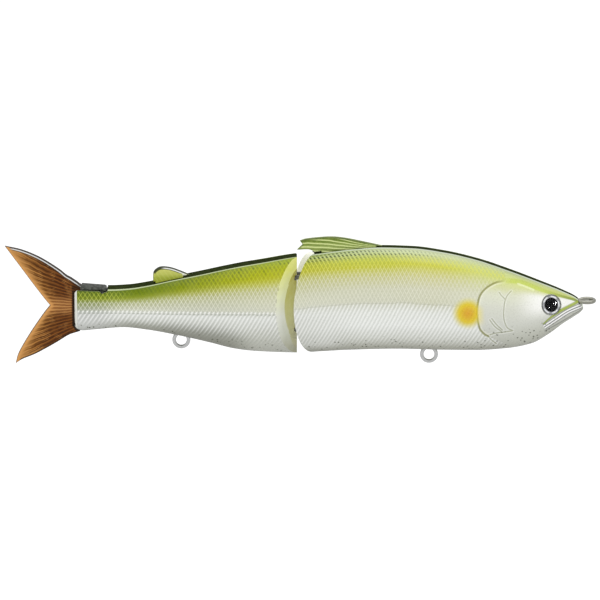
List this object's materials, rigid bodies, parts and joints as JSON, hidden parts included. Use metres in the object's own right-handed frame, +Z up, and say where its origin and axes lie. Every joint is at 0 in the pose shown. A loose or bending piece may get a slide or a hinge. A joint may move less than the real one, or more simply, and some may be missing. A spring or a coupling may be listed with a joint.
{
  "type": "jointed swimbait",
  "caption": "Jointed hard swimbait: hollow fish-shaped sections on a vertical hinge pin in a V gap, soft forked tail, wire hook eyes under the belly and a line-tie ring at the nose.",
  "frame": {"origin": "centre of the line-tie ring at the nose", "axes": "+X towards the nose, +Y to the fish's left, +Z up through the back"},
  "size_m": [0.1819, 0.021, 0.0404],
  "materials": {
    "painted_shell": "sprayed pearl and yellow-green fade under clear coat",
    "fin_resin": "satin",
    "soft_tail": "translucent satin",
    "stainless_wire": "polished",
    "eye_foil": "mirror foil",
    "eye_lens": "clear",
    "ballast_metal": "cast"
  },
  "bodies": {
    "front_section": {"front_shell_right": "painted_shell", "front_shell_left": "painted_shell", "dorsal_fin": "fin_resin", "line_tie": "stainless_wire", "front_hook_hanger": "stainless_wire", "hinge_pin": "stainless_wire", "eye_iris_right": "eye_foil", "eye_iris_left": "eye_foil", "eye_lens_right": "eye_lens", "eye_lens_left": "eye_lens", "nose_ballast": "ballast_metal", "belly_ballast": "ballast_metal", "mid_ballast": "ballast_metal"},
    "rear_section": {"rear_shell_right": "painted_shell", "rear_shell_left": "painted_shell", "adipose_fin": "fin_resin", "tail_root": "soft_tail", "rear_hook_hanger": "stainless_wire", "upper_hinge_eye": "stainless_wire", "lower_hinge_eye": "stainless_wire", "rear_ballast": "ballast_metal"},
    "tail_blade": {"tail_fin": "soft_tail"}
  },
  "joints": [
    {"name": "body_hinge", "type": "hinge", "parent": "front_section", "child": "rear_section", "pos_m": [-0.08271, 0, 0], "axis": [0, 0, 1], "range_deg": [-18, 18]},
    {"name": "tail_flex", "type": "hinge", "parent": "rear_section", "child": "tail_blade", "pos_m": [-0.1599, 0, 0], "axis": [0, 0, 1], "range_deg": [-30, 30], "stiffness_Nm_per_rad": 0.004}
  ]
}
